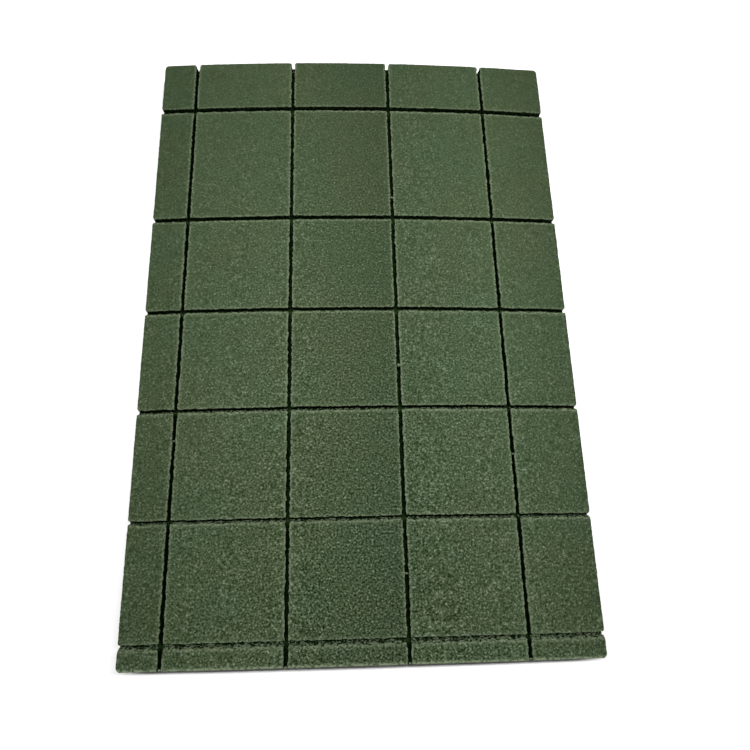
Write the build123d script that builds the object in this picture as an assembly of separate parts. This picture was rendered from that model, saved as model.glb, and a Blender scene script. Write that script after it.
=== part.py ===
from build123d import *
import math
import os

# Grooved sheet of floral foam, in millimetres. It is one slab, sawn part way through into a grid of
# blocks. Each block is its own solid, full depth, and meets its neighbours on the lines where the sheet
# snaps: over the whole depth that no groove reaches.
# +Z is up, and +Y runs along the length, away from the narrow first row. The origin is at the middle of
# the footprint, on the surface that the sheet stands on.

WIDTH = 400.0  # straight across the top, from one long edge to the other
LENGTH = 600.0
THICKNESS = 25.0
CAMBER = 8.0  # how far the middle of the sheet stands above its long edges
CORNER_RADIUS = 4.5

COLUMN_WIDTHS = [35.0, 101.0, 99.5, 99.5, 65.0]  # from -X to +X, groove centre to groove centre
ROW_LENGTHS = [19.7, 98.7, 98.2, 96.9, 98.6, 129.9, 58.0]  # from -Y to +Y
LONG_GROOVE = 3.3  # width of the grooves that run along the sheet
LONG_DEPTH = 9.5
CROSS_GROOVES = [1.8, 1.8, 2.1, 2.4, 2.7, 2.7]  # widths of those that run across, from -Y to +Y
CROSS_DEPTH = 6.5
CROSS_MOUTHS = [4.6, 3.7, 3.9, 4.1, 4.6, 5.3]  # their widths at the top, with the lip on their -Y side
LIP_DEPTH = 3.0  # how far down the slope of that lip reaches

# The slab is bent about a line along Y, far below it, so both of its faces are arcs about that line.
TOP_RADIUS = ((WIDTH / 2) ** 2 + CAMBER**2) / (2 * CAMBER)
BOTTOM_RADIUS = TOP_RADIUS - THICKNESS
HALF_BEND = math.asin(WIDTH / 2 / TOP_RADIUS)
BEND_AXIS = Axis((0, 0, -BOTTOM_RADIUS * math.cos(HALF_BEND)), (0, 1, 0))


def running_places(sizes):
    """The places where each size begins and ends, centred on zero."""
    places = [-sum(sizes) / 2]
    for size in sizes:
        places.append(places[-1] + size)
    return places


def bent_slab(outline, left, right):
    """The (y, radius) outline swept about the bend axis between two places across the width."""
    degrees_per_mm = math.degrees(HALF_BEND) / (WIDTH / 2)
    face = make_face(Polyline([(0, y, radius) for y, radius in outline], close=True))
    start = Pos(BEND_AXIS.position) * Rot(0, left * degrees_per_mm, 0) * face
    return revolve(start, axis=BEND_AXIS, revolution_arc=(right - left) * degrees_per_mm)


def block(left, right, near, far, grooves, far_mouth):
    """One block: foam below the grooves along it, and what stands between those and the ones across.

    grooves has the widths of the grooves on its left, right, near and far side. At an edge of the sheet
    there is none, so the width is 0 there, and so is far_mouth.
    """
    left_wall, right_wall = left + grooves[0] / 2, right - grooves[1] / 2
    near_wall, far_wall = near + grooves[2] / 2, far - grooves[3] / 2
    far_lip = far + grooves[3] / 2 - far_mouth
    long_floor = TOP_RADIUS - LONG_DEPTH
    cross_floor = TOP_RADIUS - CROSS_DEPTH
    base = [(near, BOTTOM_RADIUS), (far, BOTTOM_RADIUS), (far, long_floor), (near, long_floor)]
    raised = [
        (near, long_floor),
        (far, long_floor),
        (far, cross_floor),
        (far_wall, cross_floor),
        (far_wall, TOP_RADIUS - LIP_DEPTH),
        (far_lip, TOP_RADIUS),
        (near_wall, TOP_RADIUS),
        (near_wall, cross_floor),
        (near, cross_floor),
    ]
    # At an end of the sheet some of these points fall together.
    raised = [point for point, following in zip(raised, raised[1:] + raised[:1]) if point != following]
    return bent_slab(base, left, right) + bent_slab(raised, left_wall, right_wall)


def round_corner(piece, side, end):
    """The piece with its upright edge at one corner of the sheet rounded. side and end are -1 or 1."""
    corner = Vector(side * WIDTH / 2, end * LENGTH / 2, THICKNESS / 2)
    upright = piece.edges().filter_by(lambda edge: edge.bounding_box().size.Z > THICKNESS / 2)
    return fillet(upright.sort_by_distance(corner)[:1], CORNER_RADIUS)


def main():
    os.makedirs("parts", exist_ok=True)
    columns = running_places(COLUMN_WIDTHS)
    rows = running_places(ROW_LENGTHS)
    long_grooves = [0] + [LONG_GROOVE] * (len(COLUMN_WIDTHS) - 1) + [0]
    cross_grooves = [0] + CROSS_GROOVES + [0]
    mouths = CROSS_MOUTHS + [0]
    last_row, last_column = len(ROW_LENGTHS) - 1, len(COLUMN_WIDTHS) - 1
    for r in range(last_row + 1):
        for c in range(last_column + 1):
            grooves = (*long_grooves[c : c + 2], *cross_grooves[r : r + 2])
            piece = block(columns[c], columns[c + 1], rows[r], rows[r + 1], grooves, mouths[r])
            if r in (0, last_row) and c in (0, last_column):
                piece = round_corner(piece, 1 if c else -1, 1 if r else -1)
            export_step(piece, f"parts/block_row{r + 1}_col{c + 1}.step")


main()
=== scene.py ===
import math

import bmesh
import bpy
import numpy as np
from mathutils import Matrix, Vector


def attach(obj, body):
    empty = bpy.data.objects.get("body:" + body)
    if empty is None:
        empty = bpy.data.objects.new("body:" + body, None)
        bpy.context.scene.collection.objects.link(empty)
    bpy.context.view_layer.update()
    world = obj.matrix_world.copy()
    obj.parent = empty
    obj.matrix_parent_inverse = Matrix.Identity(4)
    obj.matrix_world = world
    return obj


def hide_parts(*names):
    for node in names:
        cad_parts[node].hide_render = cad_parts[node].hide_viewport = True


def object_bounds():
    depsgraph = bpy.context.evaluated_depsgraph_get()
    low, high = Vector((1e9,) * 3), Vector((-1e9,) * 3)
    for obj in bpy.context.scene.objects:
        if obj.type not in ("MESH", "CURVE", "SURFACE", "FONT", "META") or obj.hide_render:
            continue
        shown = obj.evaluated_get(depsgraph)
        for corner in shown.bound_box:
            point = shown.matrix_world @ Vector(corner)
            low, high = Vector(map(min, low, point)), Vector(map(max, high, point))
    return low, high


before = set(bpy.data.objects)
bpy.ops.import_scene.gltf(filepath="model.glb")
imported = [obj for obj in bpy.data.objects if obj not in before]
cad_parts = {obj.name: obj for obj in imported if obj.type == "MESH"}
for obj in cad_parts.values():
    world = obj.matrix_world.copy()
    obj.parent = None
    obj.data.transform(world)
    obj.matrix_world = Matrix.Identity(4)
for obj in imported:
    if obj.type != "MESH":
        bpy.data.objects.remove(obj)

# A grooved sheet of floral foam. Every block of the frame is cut again here as sawn foam: rough
# faces, frayed groove edges and torn lips. The frame's blocks are first bent back flat, which gives
# the lines that they were sawn along, and the foam made on those lines is bent like the sheet.
# All sizes are in metres.

MM = 0.001
NEAR_ENOUGH = 0.05 * MM  # places of the frame that are closer than this are one place
cad_low, cad_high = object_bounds()
blocks = sorted(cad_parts)


# ---------------------------------------------------------------- the sheet's bend, from the frame

def corners_of(node):
    """The corners of a frame node's mesh, one row each."""
    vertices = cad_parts[node].data.vertices
    places = np.empty(len(vertices) * 3, np.float32)
    vertices.foreach_get("co", places)
    return places.reshape(-1, 3).astype(float)


frame_corners = np.concatenate([corners_of(node) for node in blocks])
HALF_WIDTH = float(cad_high.x)
HALF_LENGTH = float(cad_high.y)
edge_height = frame_corners[frame_corners[:, 0].argmax(), 2]
camber = float(cad_high.z) - edge_height
BEND_RADIUS = (HALF_WIDTH**2 + camber**2) / (2 * camber)
BEND_HEIGHT = float(cad_high.z) - BEND_RADIUS
WIDTH_PER_ANGLE = HALF_WIDTH / math.asin(HALF_WIDTH / BEND_RADIUS)


def distance_from_axis(points):
    return np.hypot(points[:, 0], points[:, 2] - BEND_HEIGHT)


UNDERSIDE = float(distance_from_axis(frame_corners).min())
THICKNESS = BEND_RADIUS - UNDERSIDE


def flattened(points):
    """Points of the bent sheet as (across, along, depth below the top) in the flat sheet."""
    across = np.arctan2(points[:, 0], points[:, 2] - BEND_HEIGHT) * WIDTH_PER_ANGLE
    return np.stack([across, points[:, 1], BEND_RADIUS - distance_from_axis(points)], axis=1)


def bent(points):
    """The inverse of flattened."""
    angle = points[:, 0] / WIDTH_PER_ANGLE
    radius = BEND_RADIUS - points[:, 2]
    return np.stack([radius * np.sin(angle), points[:, 1], radius * np.cos(angle) + BEND_HEIGHT], axis=1)


# The frame's corners lie at a few depths: the top, the foot of the lips, the floors of the grooves across
# and along the sheet, and the underside.
flat_frame = flattened(frame_corners)
levels = np.unique(np.round(flat_frame[:, 2] / NEAR_ENOUGH)) * NEAR_ENOUGH
LIP_DEPTH, CROSS_DEPTH, LONG_DEPTH = levels[1:4]
# The radius, in plan, of the sheet's own corners.
CORNER = HALF_LENGTH - flat_frame[flat_frame[:, 0] > HALF_WIDTH - NEAR_ENOUGH, 1].max()


# ---------------------------------------------------------------------------------- foam roughness

def lattice(i, j, k, seed):
    """A fixed random number from -1 to 1 for each whole-numbered point."""
    mixed = (i * 374761393 + j * 668265263 + k * 2147483629 + seed * 1274126177) & 0xFFFFFFFF
    mixed = ((mixed ^ (mixed >> 13)) * 1274126177) & 0xFFFFFFFF
    mixed = ((mixed ^ (mixed >> 16)) * 2246822519) & 0xFFFFFFFF
    return ((mixed ^ (mixed >> 15)) & 0xFFFF) / 32767.5 - 1.0


def noise(points, size, seed):
    """Smooth noise from about -1 to 1 whose lumps are size across. Every use of it has its own seed."""
    scaled = points / size
    cell = np.floor(scaled).astype(np.int64)
    part = scaled - cell
    part = part * part * (3 - 2 * part)
    total = np.zeros(len(points))
    for corner in range(8):
        step = np.array([corner & 1, corner >> 1 & 1, corner >> 2])
        weight = np.where(step, part, 1 - part).prod(axis=1)
        total += weight * lattice(*(cell + step).T, seed)
    return total


def foam_noise(points, seed):
    """Sawn foam: small cells, larger lumps and a slow waviness."""
    return (
        0.5 * noise(points, 1.6 * MM, seed)
        + 0.35 * noise(points, 3.9 * MM, seed + 1)
        + 0.3 * noise(points, 19 * MM, seed + 2)
    )


def pits(points, seed):
    """0 on the foam's face, up to 1 where a larger cell lies open."""
    return np.clip(noise(points, 1.9 * MM, seed) * 1.8 - 0.5, 0, 1)


# ------------------------------------------------------------------------------- one block's sides

SIDES = {"left": (0, -1), "right": (0, 1), "near": (1, -1), "far": (1, 1)}  # axis and direction
ROUNDING = 0.5 * MM  # of a block's top edges
FOOT_ROUNDING = 0.7 * MM  # of the sheet's lower edges
# How far cells and tears stand out of each kind of face, and how deep the open cells are.
TOP_ROUGHNESS = 0.3 * MM
TOP_PIT_DEPTH = 0.45 * MM
TOP_SINK = 0.12 * MM  # how far the top face lies under the frame's, apart from its lumps and cells
SHEET_SIDE_ROUGHNESS = 0.3 * MM
WALL_ROUGHNESS = 0.35 * MM
FLOOR_ROUGHNESS = 0.35 * MM
UNDERSIDE_ROUGHNESS = 0.25 * MM
LIP_ROUGHNESS = 0.45 * MM
LIP_PIT_DEPTH = 0.9 * MM
# How far the saw wandered from its line, at the groove walls on each side of a block.
WANDER = {"left": 0.7 * MM, "right": 0.7 * MM, "near": 0.5 * MM, "far": 0.8 * MM}
WANDER_REACH = 2.2 * MM  # how far into the top face its points follow the saw's wandering


class Side:
    """One side of a block, in the flat sheet: its top edge, its wall and the line it breaks on."""

    def __init__(self, name, top, wall, line, sheet_edge):
        self.name = name
        self.axis, self.way = SIDES[name]
        self.top, self.wall, self.line = top, wall, line
        self.lip = abs(wall - top)
        self.outer = abs(abs(line) - sheet_edge) < NEAR_ENOUGH
        self.floor = LONG_DEPTH if self.axis == 0 else CROSS_DEPTH

    def out(self, depth, over_ledge):
        """How far the side stands out from its top edge."""
        if self.outer:
            under = max(0.0, 1 - (THICKNESS - depth) / FOOT_ROUNDING)
            return self.rounded(depth) - FOOT_ROUNDING * (1 - math.sqrt(1 - under * under))
        if over_ledge:
            return self.lip + over_ledge * abs(self.line - self.wall)
        if self.lip > NEAR_ENOUGH:
            return self.lip * min(1.0, depth / LIP_DEPTH)
        return self.rounded(depth)

    @staticmethod
    def rounded(depth):
        inside = max(0.0, 1 - depth / ROUNDING)
        return -ROUNDING * (1 - math.sqrt(1 - inside * inside))

    def wander(self, along):
        """The saw's wandering: how far this side strays outwards at places along it."""
        if self.outer:
            return np.zeros(len(along))
        place = np.stack([along, np.full(len(along), self.line), np.zeros(len(along))], axis=1)
        seed = 50 + list(SIDES).index(self.name)
        wave = 0.8 * noise(place, 2.3 * MM, seed) + 0.25 * noise(place, 7.5 * MM, seed + 10)
        return WANDER[self.name] * wave

    def roughness(self, points, depth, over_ledge):
        """How far the foam's cells and tears push this side outwards, and down."""
        if self.outer:
            return SHEET_SIDE_ROUGHNESS * (foam_noise(points, 21) - 0.45), np.zeros(len(points))
        if over_ledge:
            return np.zeros(len(points)), self.floor_lumps(points)
        if self.lip > NEAR_ENOUGH and depth < LIP_DEPTH:
            slope = math.sin(math.pi * depth / LIP_DEPTH)
            tear = foam_noise(points, 33) + 0.5 * noise(points, 2.4 * MM, 37)
            return LIP_ROUGHNESS * tear * (0.4 + slope), LIP_PIT_DEPTH * slope * pits(points, 39)
        return WALL_ROUGHNESS * foam_noise(points, 25), np.zeros(len(points))

    @staticmethod
    def floor_lumps(points):
        return -FLOOR_ROUGHNESS * foam_noise(points * [1, 1, 0], 45)


def block_sides(node):
    """The four sides of a frame block, measured from its corners bent back flat."""
    points = flattened(corners_of(node))
    low, high = points[:, :2].min(axis=0), points[:, :2].max(axis=0)
    top = points[points[:, 2] < NEAR_ENOUGH]
    top_low, top_high = top[:, :2].min(axis=0), top[:, :2].max(axis=0)
    above_floor = points[points[:, 2] < LIP_DEPTH + NEAR_ENOUGH]
    return {
        "left": Side("left", top_low[0], top_low[0], low[0], HALF_WIDTH),
        "right": Side("right", top_high[0], top_high[0], high[0], HALF_WIDTH),
        "near": Side("near", top_low[1], top_low[1], low[1], HALF_LENGTH),
        "far": Side("far", top_high[1], above_floor[:, 1].max(), high[1], HALF_LENGTH),
    }


# ------------------------------------------------------------------------------- one block's mesh

SPACING = 0.8 * MM  # between the points of a top face
COARSE = 4  # the underside has one point to this many of the top's
# Depths of the rings around a block's worn top edge. More follow evenly, to the cross groove's floor.
TOP_RINGS = np.array([0.08, 0.25, 0.5, 0.8]) * MM
EVEN_RINGS_FROM, EVEN_RINGS = 1.2 * MM, 9
WEB_RINGS = 10  # below the grooves, where a block reaches the sheet's edge
LEDGE_STEPS = 3
LEDGE_DROP = 0.3 * MM  # how far the other sides go down while a ring crosses a ledge
SKIRT = 1.2 * MM  # from a block's outline to its underside's grid
WORN_CORNER = 0.9 * MM
# Where a groove runs out of the sheet: at the far end, and on the groove's far side at the long edges.
FRAYED_CORNER = 2.2 * MM


class Ring:
    """One ring of points around a block, with its depth on each pair of inner sides.

    A groove's floor makes a ledge between a block's wall and the line that it breaks on. over_long and
    over_cross say how far the ring has come over those ledges, from 0 at the wall to 1 on the line.
    """

    def __init__(self, long_depth, cross_depth, over_long, over_cross):
        self.depths = {0: long_depth, 1: cross_depth}
        self.over = {0: over_long, 1: over_cross}

    def depth(self, side):
        """Its depth on a side. The sheet's own edges have no ledge, so a ring never waits there."""
        return max(self.depths.values()) if side.outer else self.depths[side.axis]


def rings(reaches_edge):
    """The rings around a block, from its top face down: over the cross ledge, then the long one."""
    upper = np.concatenate([TOP_RINGS, np.linspace(EVEN_RINGS_FROM, CROSS_DEPTH, EVEN_RINGS)])
    made = [Ring(depth, depth, 0, 0) for depth in upper]
    steps = np.arange(1, LEDGE_STEPS + 1)
    for step in steps:
        made.append(Ring(CROSS_DEPTH + step * LEDGE_DROP, CROSS_DEPTH, 0, step / LEDGE_STEPS))
    dropped = LEDGE_STEPS * LEDGE_DROP
    for part in (0.25, 0.5, 0.75, 1.0):
        cross = CROSS_DEPTH + part * (LONG_DEPTH - CROSS_DEPTH)
        made.append(Ring(cross + (1 - part) * dropped, cross, 0, 1))
    for step in steps:
        made.append(Ring(LONG_DEPTH, LONG_DEPTH + step * LEDGE_DROP, step / LEDGE_STEPS, 1))
    foot = THICKNESS - FOOT_ROUNDING
    for part in np.linspace(0, 1, WEB_RINGS + 1)[1:] if reaches_edge else []:
        long = LONG_DEPTH + part * (foot - LONG_DEPTH)
        made.append(Ring(long, long + (1 - part) * dropped, 1, 1))
    for depth in ((THICKNESS - 0.3 * FOOT_ROUNDING, THICKNESS) if reaches_edge else (THICKNESS,)):
        made.append(Ring(depth, depth, 1, 1))
    return made


def spread(start, end, cells):
    """Places from start to end, a little closer together towards both."""
    weights = np.ones(cells)
    easing = np.array([0.45, 0.65, 0.85])
    weights[:3] = easing
    weights[-3:] = easing[::-1]
    steps = np.concatenate([[0], np.cumsum(weights)])
    return start + (end - start) * steps / steps[-1]


def cells_for(length):
    return max(2, round(length / SPACING / COARSE)) * COARSE


def around(columns, rows):
    """Indices of a grid's edge points, once round from the near left corner, and their directions."""
    across, along = columns - 1, rows - 1
    steps = [(i, 0) for i in range(across)]
    steps += [(across, j) for j in range(along)]
    steps += [(i, along) for i in range(across, 0, -1)]
    steps += [(0, j) for j in range(along, 0, -1)]
    steps = np.array(steps)
    x_way = np.where(steps[:, 0] == 0, -1, np.where(steps[:, 0] == across, 1, 0))
    y_way = np.where(steps[:, 1] == 0, -1, np.where(steps[:, 1] == along, 1, 0))
    return steps[:, 1] * columns + steps[:, 0], np.stack([x_way, y_way])


def grid_faces(columns, rows, first):
    i, j = np.meshgrid(np.arange(columns - 1), np.arange(rows - 1))
    corner = (first + j * columns + i).ravel()
    return np.stack([corner, corner + 1, corner + columns + 1, corner + columns], axis=1)


def ring_faces(upper, lower):
    return np.stack([upper, lower, np.roll(lower, -1), np.roll(upper, -1)], axis=1)


def fan_faces(fine, coarse):
    """Triangles between a ring of points and a coarser one inside it, seen from below."""
    faces = []
    for n in range(len(coarse)):
        this, following = coarse[n], coarse[(n + 1) % len(coarse)]
        span = [fine[(n * COARSE + k) % len(fine)] for k in range(COARSE + 1)]
        half = COARSE // 2
        for k in range(COARSE):
            faces.append((span[k], this if k < half else following, span[k + 1]))
        faces.append((span[half], this, following))
    return faces


def round_corners(points, low, high, radii):
    """Points of a rectangle with its corners rounded in plan. radii gives one for each (x, y) way."""
    points = points.copy()
    for ways, radius in radii.items():
        ways = np.array(ways)
        centre = np.where(ways > 0, high, low) - ways * radius
        past = (points[:, :2] - centre) * ways
        beyond = (past > 0).all(axis=1)
        shrink = past[beyond].max(axis=1) / np.hypot(*past[beyond].T)
        points[beyond, :2] = centre + past[beyond] * shrink[:, None] * ways
    return points


def corner_radii(sides, above_floors):
    radii = {}
    for x_side in (sides["left"], sides["right"]):
        for y_side in (sides["near"], sides["far"]):
            if x_side.outer and y_side.outer:
                radius = CORNER
            elif not above_floors:
                continue
            elif (x_side.outer and y_side.name == "near") or (y_side.outer and y_side.name == "far"):
                radius = FRAYED_CORNER
            else:
                radius = WORN_CORNER
            radii[(x_side.way, y_side.way)] = radius
    return radii


class Foam:
    """The points, faces and surface values of one block, as they are added."""

    def __init__(self):
        self.points, self.rim, self.shade, self.torn = [], [], [], []
        self.quads, self.labels = [], []
        self.count = 0

    def add_points(self, points, rim, shade, torn):
        first = self.count
        self.count += len(points)
        self.points.append(points)
        for values, new in ((self.rim, rim), (self.shade, shade), (self.torn, torn)):
            values.append(np.broadcast_to(new, len(points)))
        return first + np.arange(len(points))

    def add_quads(self, quads, labels):
        self.quads.append(quads)
        self.labels.append(np.broadcast_to(labels, len(quads)))


RIM_WIDTH = 1.3 * MM
# The grooves across the sheet are the most torn, with the darkest painted shade, at its near end, and the
# cleanest beyond its middle.
CLEAN_FROM, TORN_FROM = 0.2 * HALF_LENGTH, -0.3 * HALF_LENGTH
LEAST_TORN = 0.55  # how torn the clean ones are, where 1 is the most
CROSS_SHADE = 0.6  # how dark the painted shade in the clean ones is, where 1 is as dark as in the lengthwise grooves
CROSSING_LIGHT = 0.3  # how much of the shade is lost in the middle of a crossing
CROSSING_REACH = 3.2 * MM


def rim_strength(side):
    """How pale a block's top edge is worn on each side."""
    if side.outer:
        return 1.5 if side.name == "near" else 0.0
    return 0.45 if side.name == "near" else 0.65


def top_face(foam, sides):
    low = np.array([sides["left"].top, sides["near"].top]) + ROUNDING
    high = np.array([sides["right"].top, sides["far"].top]) - ROUNDING
    columns, rows = cells_for(high[0] - low[0]) + 1, cells_for(high[1] - low[1]) + 1
    x, y = np.meshgrid(spread(low[0], high[0], columns - 1), spread(low[1], high[1], rows - 1))
    flat = np.stack([x.ravel(), y.ravel(), np.zeros(x.size)], axis=1)
    points = round_corners(flat, low, high, corner_radii(sides, True))
    rim = np.zeros(len(flat))
    for side in sides.values():
        edge = high[side.axis] if side.way > 0 else low[side.axis]
        gap = np.abs(flat[:, side.axis] - edge)
        pull = np.exp(-((gap / WANDER_REACH) ** 2))
        points[:, side.axis] += side.way * side.wander(flat[:, 1 - side.axis]) * pull
        rim = np.maximum(rim, rim_strength(side) * np.exp(-((gap / RIM_WIDTH) ** 2)))
    points[:, 2] -= surface_lift(flat)
    foam.add_points(points, rim, 0.0, 0.0)
    foam.add_quads(grid_faces(columns, rows, 0), 0)
    return flat, columns, rows


def surface_lift(flat):
    """Height of the top face's lumps and cells, a little under the frame's face on the whole."""
    return TOP_ROUGHNESS * foam_noise(flat, 5) - TOP_PIT_DEPTH * pits(flat, 7) - TOP_SINK


def smooth_step(value, start, end):
    part = np.clip((value - start) / (end - start), 0, 1)
    return part * part * (3 - 2 * part)


def ring_points(ring, edge, ways, sides):
    """A ring's points, and their depth. edge has the top face's edge points, before its lumps."""
    plain = edge.copy()
    plain[:, 2] = THICKNESS
    low, high = np.empty(2), np.empty(2)
    for side in sides.values():
        here = ways[side.axis] == side.way
        plain[here, 2] = np.minimum(plain[here, 2], ring.depth(side))
        plain[here, side.axis] = side.top + side.way * side.out(ring.depth(side), ring.over[side.axis])
        (high if side.way > 0 else low)[side.axis] = plain[here, side.axis][0]
    above_floors = ring.over[0] == 0 and ring.over[1] == 0
    points = round_corners(plain, low, high, corner_radii(sides, above_floors))
    for side in sides.values():
        here = ways[side.axis] == side.way
        over = ring.over[side.axis]
        push, sink = side.roughness(plain[here], ring.depth(side), over)
        if not over:
            push = push + side.wander(plain[here, 1 - side.axis])
        points[here, side.axis] += side.way * push
        # Past a ledge the ring goes on down the break face, which has no lumps.
        on_ledge = ring.depth(side) == side.floor or not over
        points[here, 2] += sink if on_ledge else 0.0
    return points, plain[:, 2]


def crossing_light(points, sides):
    """1 in the middle of a crossing of two grooves, where more light comes in, falling to 0."""
    light = np.zeros(len(points))
    for x_side in (sides["left"], sides["right"]):
        for y_side in (sides["near"], sides["far"]):
            if not (x_side.outer or y_side.outer):
                away = np.hypot(points[:, 0] - x_side.line, points[:, 1] - y_side.line)
                light = np.maximum(light, np.exp(-((away / CROSSING_REACH) ** 2)))
    return light


def ring_values(points, depth, ways, sides, ring):
    """The rim, painted shade and torn values of a ring's points."""
    rim, shade, torn = np.zeros(len(points)), np.zeros(len(points)), np.zeros(len(points))
    for side in sides.values():
        here = ways[side.axis] == side.way
        strength = rim_strength(side) * math.exp(-((ring.depth(side) / RIM_WIDTH) ** 2))
        rim[here] = np.maximum(rim[here], strength)
        below_groove = ring.over[side.axis] == 1 and ring.depth(side) > side.floor
        if side.outer or below_groove:
            continue
        # Painted shade: the walls and floor of a groove darken from dark_from down to dark_by.
        darkest, dark_from, dark_by = 1.0, 0.3 * MM, 2.0 * MM
        if side.axis == 1:
            tears = smooth_step(side.line, CLEAN_FROM, TORN_FROM)
            how_torn = LEAST_TORN + (1 - LEAST_TORN) * tears
            torn[here] = how_torn * smooth_step(depth[here], 0.2 * MM, 0.8 * MM)
            darkest = CROSS_SHADE + (1 - CROSS_SHADE) * tears
            if side.lip > NEAR_ENOUGH:
                # A lip's painted shade starts further down its slope, the more torn the groove is.
                dark_from = LIP_DEPTH * (0.2 + 0.75 * tears)
                dark_by = dark_from + 0.4 * LIP_DEPTH
        dark = darkest * smooth_step(depth[here], dark_from, dark_by)
        shade[here] = np.maximum(shade[here], dark)
    shade *= 1 - CROSSING_LIGHT * crossing_light(points, sides)
    return rim, shade, torn


def face_labels(ring, ways, sides):
    """0 for foam that is open to the air, or a number for the break face that each quad lies in."""
    labels = np.zeros(ways.shape[1], int)
    following = np.roll(ways, -1, axis=1)
    for number, side in enumerate(sides.values(), 1):
        if not side.outer and ring.over[side.axis] == 1 and ring.depth(side) > side.floor:
            labels[(ways[side.axis] == side.way) & (following[side.axis] == side.way)] = number
    return labels


def underside(foam, sides, last_ring, columns, rows):
    """The coarser underside, and the triangles that join the last ring to it."""
    low = np.array([sides["left"].line, sides["near"].line]) + SKIRT
    high = np.array([sides["right"].line, sides["far"].line]) - SKIRT
    bottom_columns, bottom_rows = (columns - 1) // COARSE + 1, (rows - 1) // COARSE + 1
    x_places = np.linspace(low[0], high[0], bottom_columns)
    y_places = np.linspace(low[1], high[1], bottom_rows)
    x, y = np.meshgrid(x_places, y_places)
    points = np.stack([x.ravel(), y.ravel(), np.full(x.size, THICKNESS)], axis=1)
    points = round_corners(points, low, high, corner_radii(sides, False))
    points[:, 2] -= UNDERSIDE_ROUGHNESS * np.abs(foam_noise(points * [1, 1, 0], 8))
    index = foam.add_points(points, 0.0, 0.0, 0.0)
    foam.add_quads(grid_faces(bottom_columns, bottom_rows, index[0])[:, ::-1], 0)
    edge, _ = around(bottom_columns, bottom_rows)
    return fan_faces(list(last_ring), list(index[edge]))


def block_mesh(node):
    sides = block_sides(node)
    foam = Foam()
    flat, columns, rows = top_face(foam, sides)
    edge, ways = around(columns, rows)
    previous = edge
    for ring in rings(any(side.outer for side in sides.values())):
        points, depth = ring_points(ring, flat[edge], ways, sides)
        index = foam.add_points(points, *ring_values(points, depth, ways, sides, ring))
        foam.add_quads(ring_faces(previous, index), face_labels(ring, ways, sides))
        previous = index
    fan = underside(foam, sides, previous, columns, rows)
    mesh = bpy.data.meshes.new(node + "_foam")
    quads = np.concatenate(foam.quads).tolist()
    mesh.from_pydata(bent(np.concatenate(foam.points)), [], quads + fan)
    mesh.update()
    for name, values in (("rim", foam.rim), ("shade", foam.shade), ("torn", foam.torn)):
        layer = mesh.attributes.new(name, "FLOAT", "POINT")
        layer.data.foreach_set("value", np.concatenate(values).astype(np.float32))
    crease_breaks(mesh, np.concatenate(foam.labels + [np.zeros(len(fan), int)]))
    return mesh


def crease_breaks(mesh, labels):
    """Smooth shading, with a sharp edge wherever a break face meets open foam."""
    loop_edges = np.empty(len(mesh.loops), np.int32)
    mesh.loops.foreach_get("edge_index", loop_edges)
    sizes = np.empty(len(mesh.polygons), np.int32)
    mesh.polygons.foreach_get("loop_total", sizes)
    loop_labels = np.repeat(labels, sizes)
    lowest = np.full(len(mesh.edges), labels.max())
    highest = np.zeros(len(mesh.edges), int)
    np.minimum.at(lowest, loop_edges, loop_labels)
    np.maximum.at(highest, loop_edges, loop_labels)
    mesh.polygons.foreach_set("use_smooth", np.ones(len(mesh.polygons), bool))
    mesh.edges.foreach_set("use_edge_sharp", lowest != highest)


# ------------------------------------------------------------------------------------------ crumbs

# Loose crumbs of foam caught in the grooves, and the burrs left where the grooves along the sheet run
# out at its near end: the block on the groove's left, how far along that block each one lies, its depth
# and its size.
CRUMBS = [
    ("block_row6_col3", 0.17, 0.3 * MM, 1.5 * MM),
    ("block_row4_col3", 0.41, 0.2 * MM, 1.9 * MM),
    ("block_row2_col3", 0.52, 0.8 * MM, 1.3 * MM),
    ("block_row3_col1", 0.72, 0.7 * MM, 1.3 * MM),
    ("block_row3_col4", 0.55, 0.7 * MM, 1.2 * MM),
    ("block_row7_col2", 0.90, 7.6 * MM, 1.4 * MM),
    ("block_row7_col4", 0.92, 7.4 * MM, 1.7 * MM),
    ("block_row1_col1", 0.06, 0.5 * MM, 1.3 * MM),
    ("block_row1_col2", 0.05, 0.9 * MM, 1.3 * MM),
    ("block_row1_col3", 0.06, 0.7 * MM, 1.2 * MM),
    ("block_row1_col4", 0.07, 0.4 * MM, 1.5 * MM),
]
CRUMB_SHAPE = np.array([1.05, 0.62, 0.75])  # half of its extent across, along and down, for its size


def crumb_mesh():
    """All the crumbs, as knobbly lumps wedged between the two walls of their grooves."""
    shape = bmesh.new()
    for number, (node, part, depth, size) in enumerate(CRUMBS):
        sides = block_sides(node)
        along = sides["near"].line + part * (sides["far"].line - sides["near"].line)
        centre = np.array([[sides["right"].line, along, depth + 0.4 * size]])
        lump = bmesh.ops.create_icosphere(shape, subdivisions=4, radius=1.0)["verts"]
        ball = np.array([vertex.co for vertex in lump])
        swell = 1 + 0.35 * noise(ball, 0.9, 60 + number) + 0.16 * noise(ball, 0.35, 80 + number)
        places = bent(centre + ball * CRUMB_SHAPE * swell[:, None] * size * [1, 1, -1])
        for vertex, place in zip(lump, places):
            vertex.co = place
    mesh = bpy.data.meshes.new("groove_crumbs")
    shape.to_mesh(mesh)
    shape.free()
    mesh.polygons.foreach_set("use_smooth", np.ones(len(mesh.polygons), bool))
    for name, value in (("rim", 1.0), ("shade", 0.0), ("torn", 0.0)):
        layer = mesh.attributes.new(name, "FLOAT", "POINT")
        layer.data.foreach_set("value", np.full(len(mesh.vertices), value, np.float32))
    return mesh


# --------------------------------------------------------------------------------------- materials

FOAM_OLIVE = (0.0440, 0.0624, 0.0300)
FOAM_TEAL = (0.0403, 0.0624, 0.0312)
RIM_COLOUR = (0.150, 0.182, 0.115)
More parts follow.
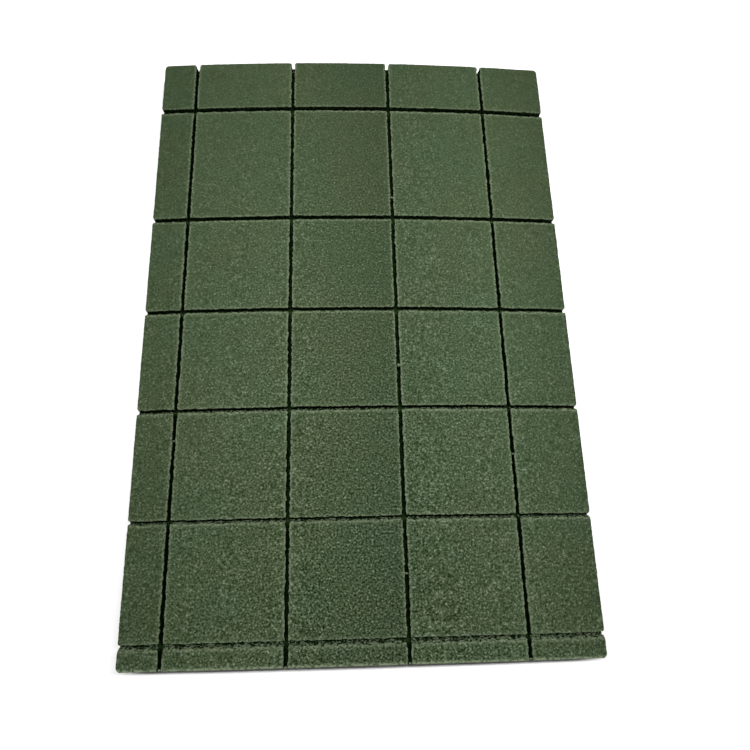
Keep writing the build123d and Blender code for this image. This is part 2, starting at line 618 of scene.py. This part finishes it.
# Colours of painted shade: dark green in the clean grooves across the sheet, black in the deepest grooves
# and in the pits of torn foam.
PAINTED_SHADE_GREEN = (0.0160, 0.0350, 0.0100)
PAINTED_SHADE_BLACK = (0.0021, 0.0066, 0.0015)
# Painted shade on the strips between the lengthwise grooves: how light each one is at its left and right
# side.
STRIP_SHADE = [(0.89, 0.90), (0.99, 1.02), (1.00, 0.78), (0.95, 1.02), (1.03, 0.84)]
# How fine the material's noises are, in lumps to the metre.
FINENESS = {
    "tint": 17, "lumps": 120, "shade_unevenness": 330, "tears": 480, "fraying": 520, "cells": 580, "bumps": 800,
}
# The brightness of the foam's cells, as (noise value, level), where level 1 is the foam's own.
CELL_LEVELS = [(0.26, 0.12), (0.38, 0.48), (0.50, 1.0), (0.60, 1.44), (0.66, 2.05), (0.74, 3.4)]


class Nodes:
    """Short ways to build a material's nodes."""

    def __init__(self, name):
        self.material = bpy.data.materials.new(name)
        self.material.use_nodes = True
        self.tree = self.material.node_tree
        self.shader = self.tree.nodes["Principled BSDF"]

    def make(self, kind, **settings):
        made = self.tree.nodes.new("ShaderNode" + kind)
        for key, value in settings.items():
            setattr(made, key, value)
        return made

    def feed(self, value, socket):
        if isinstance(value, bpy.types.NodeSocket):
            self.tree.links.new(value, socket)
        else:
            socket.default_value = value

    def attribute(self, name):
        return self.make("Attribute", attribute_name=name).outputs["Fac"]

    def noise(self, place, scale, detail=2.0, roughness=0.5):
        made = self.make("TexNoise")
        values = {"Vector": place, "Scale": scale, "Detail": detail, "Roughness": roughness}
        for name, value in values.items():
            self.feed(value, made.inputs[name])
        return made.outputs["Fac"]

    def ramp(self, value, *stops):
        """A colour ramp through stops of (position, colour or grey level)."""
        made = self.make("ValToRGB")
        elements = made.color_ramp.elements
        while len(elements) < len(stops):
            elements.new(0.5)
        for element, (position, colour) in zip(elements, stops):
            element.position = position
            element.color = (*(colour if isinstance(colour, tuple) else (colour,) * 3), 1)
        self.feed(value, made.inputs["Fac"])
        return made.outputs["Color"]

    def mix(self, a, b, factor, blend="MIX"):
        made = self.make("Mix", data_type="RGBA", blend_type=blend)
        for value, socket in ((a, made.inputs[6]), (b, made.inputs[7]), (factor, made.inputs[0])):
            self.feed((*value, 1) if isinstance(value, tuple) else value, socket)
        return made.outputs[2]

    def maths(self, operation, a, b, clamped=False):
        made = self.make("Math", operation=operation, use_clamp=clamped)
        self.feed(a, made.inputs[0])
        self.feed(b, made.inputs[1])
        return made.outputs[0]

    def stretch(self, value, start, end, to_start, to_end):
        made = self.make("MapRange")
        numbers = (value, start, end, to_start, to_end)
        for number, name in zip(numbers, ("Value", "From Min", "From Max", "To Min", "To Max")):
            self.feed(number, made.inputs[name])
        return made.outputs["Result"]


def cell_tint(level):
    """A cell's tint at a brightness level: greyer above the foam's own level, and greener below it."""
    return level**1.2, level, level**1.32


def strip_shade(nodes, across):
    """The strips' painted shade, as a ramp over the width that jumps at the grooves."""
    stops = []
    for number, shade_levels in enumerate(STRIP_SHADE, 1):
        sides = block_sides(f"block_row1_col{number}")
        for side, shade_level in zip((sides["left"], sides["right"]), shade_levels):
            stops.append(((side.line - side.way * NEAR_ENOUGH) / (2 * HALF_WIDTH) + 0.5, shade_level))
    return nodes.ramp(nodes.stretch(across, -HALF_WIDTH, HALF_WIDTH, 0.0, 1.0), *stops)


def foam_material():
    """Matt green foam: open cells, worn pale edges, grooves darkened by painted shade, and torn foam with
    pits of painted shade.
    """
    nodes = Nodes("foam")
    nodes.shader.inputs["Roughness"].default_value = 0.95
    nodes.shader.inputs["Specular IOR Level"].default_value = 0.02
    place = nodes.make("TexCoord").outputs["Object"]
    axes = nodes.make("SeparateXYZ")
    nodes.feed(place, axes.inputs[0])
    rim, shade, torn = (nodes.attribute(name) for name in ("rim", "shade", "torn"))

    tint = nodes.ramp(nodes.noise(place, FINENESS["tint"]), (0.36, FOAM_OLIVE), (0.64, FOAM_TEAL))
    lumps = nodes.ramp(nodes.noise(place, FINENESS["lumps"]), (0.3, 0.93), (0.7, 1.07))
    tints = [(at, cell_tint(level)) for at, level in CELL_LEVELS]
    cells = nodes.ramp(nodes.noise(place, FINENESS["cells"], 1, 0.6), *tints)
    # The cells lie more open towards the near end and the middle of the sheet.
    lengthwise = nodes.stretch(axes.outputs["Y"], -HALF_LENGTH, HALF_LENGTH, 1.04, 0.34)
    crosswise = nodes.maths("ABSOLUTE", axes.outputs["X"], 0.0)
    crosswise = nodes.stretch(crosswise, 0.2 * HALF_WIDTH, HALF_WIDTH, 1.0, 0.64)
    cells = nodes.mix((1.0, 1.0, 1.0), cells, nodes.maths("MULTIPLY", lengthwise, crosswise))
    foam = nodes.mix(nodes.mix(tint, lumps, 1.0, "MULTIPLY"), cells, 1.0, "MULTIPLY")
    # Painted shade: each strip between the lengthwise grooves is made a little darker or lighter,
    # unevenly across its width.
    foam = nodes.mix(foam, strip_shade(nodes, axes.outputs["X"]), 1.0, "MULTIPLY")

    # The top edges are worn pale, and frayed into the face beside them.
    frayed = nodes.ramp(nodes.noise(place, FINENESS["fraying"], 1, 0.6), (0.40, 0.1), (0.58, 1.0))
    foam = nodes.mix(foam, RIM_COLOUR, nodes.maths("MULTIPLY", rim, frayed, True))

    # Painted shade in the grooves: dark green at the shade of the clean ones, black beyond it, and a
    # little uneven.
    uneven_shade = nodes.ramp(nodes.noise(place, FINENESS["shade_unevenness"], 2, 0.6), (0.38, 0.86), (0.54, 1.0))
    shade = nodes.maths("MULTIPLY", shade, uneven_shade)
    painted_groove_shade = nodes.ramp(shade, (CROSS_SHADE, PAINTED_SHADE_GREEN), (1.0, PAINTED_SHADE_BLACK))
    foam = nodes.mix(foam, painted_groove_shade, nodes.stretch(shade, 0.0, CROSS_SHADE, 0.0, 1.0))

    # Torn foam: pale granules beside black pits of painted shade.
    tears = nodes.noise(place, FINENESS["tears"], 2, 0.6)
    granules = nodes.ramp(tears, (0.51, 0.0), (0.59, 0.5))
    foam = nodes.mix(foam, RIM_COLOUR, nodes.maths("MULTIPLY", torn, granules, True))
    pit_shade = nodes.ramp(tears, (0.43, 1.0), (0.49, 0.0))
    foam = nodes.mix(foam, PAINTED_SHADE_BLACK, nodes.maths("MULTIPLY", torn, pit_shade, True))
    nodes.feed(foam, nodes.shader.inputs["Base Color"])

    bump = nodes.make("Bump")
    bump.inputs["Strength"].default_value = 0.7
    bump.inputs["Distance"].default_value = 0.5 * MM
    nodes.feed(nodes.noise(place, FINENESS["bumps"], 2, 0.6), bump.inputs["Height"])
    nodes.feed(bump.outputs["Normal"], nodes.shader.inputs["Normal"])
    return nodes.material


def floor_material():
    nodes = Nodes("floor")
    nodes.shader.inputs["Base Color"].default_value = (0.9, 0.9, 0.9, 1)
    nodes.shader.inputs["Roughness"].default_value = 1.0
    nodes.shader.inputs["Specular IOR Level"].default_value = 0.0
    return nodes.material


# ------------------------------------------------------------------------------------------- scene

def add_foam():
    foam = foam_material()
    for node in blocks:
        piece = add_piece(block_mesh(node), foam)
        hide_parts(node)
    add_piece(crumb_mesh(), foam)


def add_piece(mesh, material):
    mesh.materials.append(material)
    piece = bpy.data.objects.new(mesh.name, mesh)
    bpy.context.scene.collection.objects.link(piece)
    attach(piece, "root")
    return piece


def add_floor():
    mesh = bpy.data.meshes.new("floor")
    reach = 3.0
    corners = [(-reach, -reach, 0), (reach, -reach, 0), (reach, reach, 0), (-reach, reach, 0)]
    mesh.from_pydata(corners, [], [(0, 1, 2, 3)])
    mesh.materials.append(floor_material())
    floor = bpy.data.objects.new("floor", mesh)
    bpy.context.scene.collection.objects.link(floor)


def add_strip_light(height, tilt, spread_angle, narrow_angle, power):
    """A long overhead softbox that runs across the sheet, leaning a little to its far end."""
    data = bpy.data.lights.new("strip", "AREA")
    data.shape = "RECTANGLE"
    data.size = 2 * height * math.tan(spread_angle)
    data.size_y = 2 * height * math.tan(narrow_angle)
    data.energy = power
    lamp = bpy.data.objects.new("strip", data)
    lamp.location = (0, -HALF_LENGTH + height * math.tan(tilt), height)
    bpy.context.scene.collection.objects.link(lamp)


def add_pool_light(centre, height, reach, power):
    """A soft round pool of light that makes the middle of the sheet the brightest."""
    data = bpy.data.lights.new("pool", "SPOT")
    data.spot_size = 2 * math.atan(reach / height)
    data.spot_blend = 1.0
    data.shadow_soft_size = 0.15
    data.energy = power
    lamp = bpy.data.objects.new("pool", data)
    lamp.location = (*centre, height)
    bpy.context.scene.collection.objects.link(lamp)


def add_world(fill):
    """A white backdrop that gives off only a faint fill light."""
    world = bpy.data.worlds.new("studio")
    world.use_nodes = True
    tree = world.node_tree
    background = tree.nodes["Background"]
    background.inputs["Color"].default_value = (1, 1, 1, 1)
    seen = tree.nodes.new("ShaderNodeLightPath")
    strength = tree.nodes.new("ShaderNodeMapRange")
    strength.inputs["To Min"].default_value = fill
    strength.inputs["To Max"].default_value = 1.0
    tree.links.new(seen.outputs["Is Camera Ray"], strength.inputs["Value"])
    tree.links.new(strength.outputs["Result"], background.inputs["Strength"])
    bpy.context.scene.world = world


def add_camera(place, turns, lens):
    """A camera that looks straight down until it is turned by each (angle, axis), the last one first."""
    data = bpy.data.cameras.new("camera")
    data.sensor_width = 36
    data.lens = lens
    camera = bpy.data.objects.new("camera", data)
    turn = Matrix.Identity(4)
    for angle, axis in turns:
        turn = turn @ Matrix.Rotation(math.radians(angle), 4, axis)
    camera.matrix_world = Matrix.Translation(place) @ turn
    bpy.context.scene.collection.objects.link(camera)
    bpy.context.scene.camera = camera


bpy.context.scene.view_settings.view_transform = "Standard"
add_camera(
    place=(-0.0210, -0.2705, 0.6599), turns=[(-9.09, "Z"), (19.32, "X"), (8.02, "Z")], lens=34.97,
)
add_world(fill=0.13)
add_strip_light(
    height=8.0, tilt=math.radians(7), spread_angle=math.radians(45),
    narrow_angle=math.radians(2.5), power=1180,
)
add_pool_light(centre=(0.07, 0.045), height=2.5, reach=0.40, power=150)
add_floor()
add_foam()
